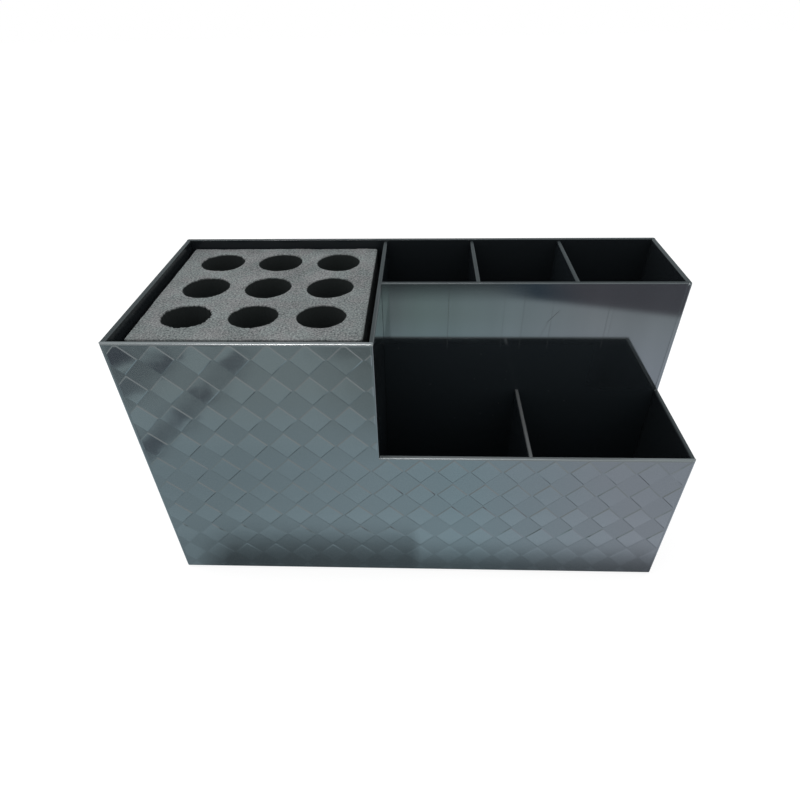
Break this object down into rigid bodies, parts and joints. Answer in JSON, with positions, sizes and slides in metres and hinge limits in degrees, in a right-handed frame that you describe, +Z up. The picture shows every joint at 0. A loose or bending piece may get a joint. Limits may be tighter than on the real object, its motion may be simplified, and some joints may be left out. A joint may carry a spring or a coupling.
{
  "type": "barber tool holder",
  "caption": "Two-tier desktop holder in glossy black sheet with an embossed diamond front, open bays for clippers and a lift-out foam block punched with round holes for scissors and combs.",
  "frame": {"origin": "on the surface that the holder stands on, under the middle of its outer width and depth", "axes": "+Z up; +X to the right along the long side when facing the patterned front; -Y points out of the patterned front, +Y to the back panel"},
  "size_m": [0.26, 0.114, 0.147],
  "materials": {
    "front_sheet": "glossy black sheet, embossed with smooth diamonds on a finely grained ground",
    "case_sheet": "high gloss black sheet with softened, polished rims",
    "foam": "matt speckled grey closed-cell foam with punched holes",
    "foot_pad": "matt black rubber"
  },
  "bodies": {
    "case": {"front_panel": "front_sheet", "back_panel": "case_sheet", "left_panel": "case_sheet", "right_panel": "case_sheet", "base_plate": "case_sheet", "bay_partition": "case_sheet", "middle_wall": "case_sheet", "rear_divider_left": "case_sheet", "rear_divider_right": "case_sheet", "front_divider": "case_sheet", "foot_front_left": "foot_pad", "foot_front_right": "foot_pad", "foot_back_left": "foot_pad", "foot_back_right": "foot_pad"},
    "insert": {"foam_insert": "foam"}
  },
  "joints": [
    {"name": "insert_lift", "type": "slide", "parent": "case", "child": "insert", "axis": [0, 0, 1], "range_m": [0, 0.15]}
  ]
}
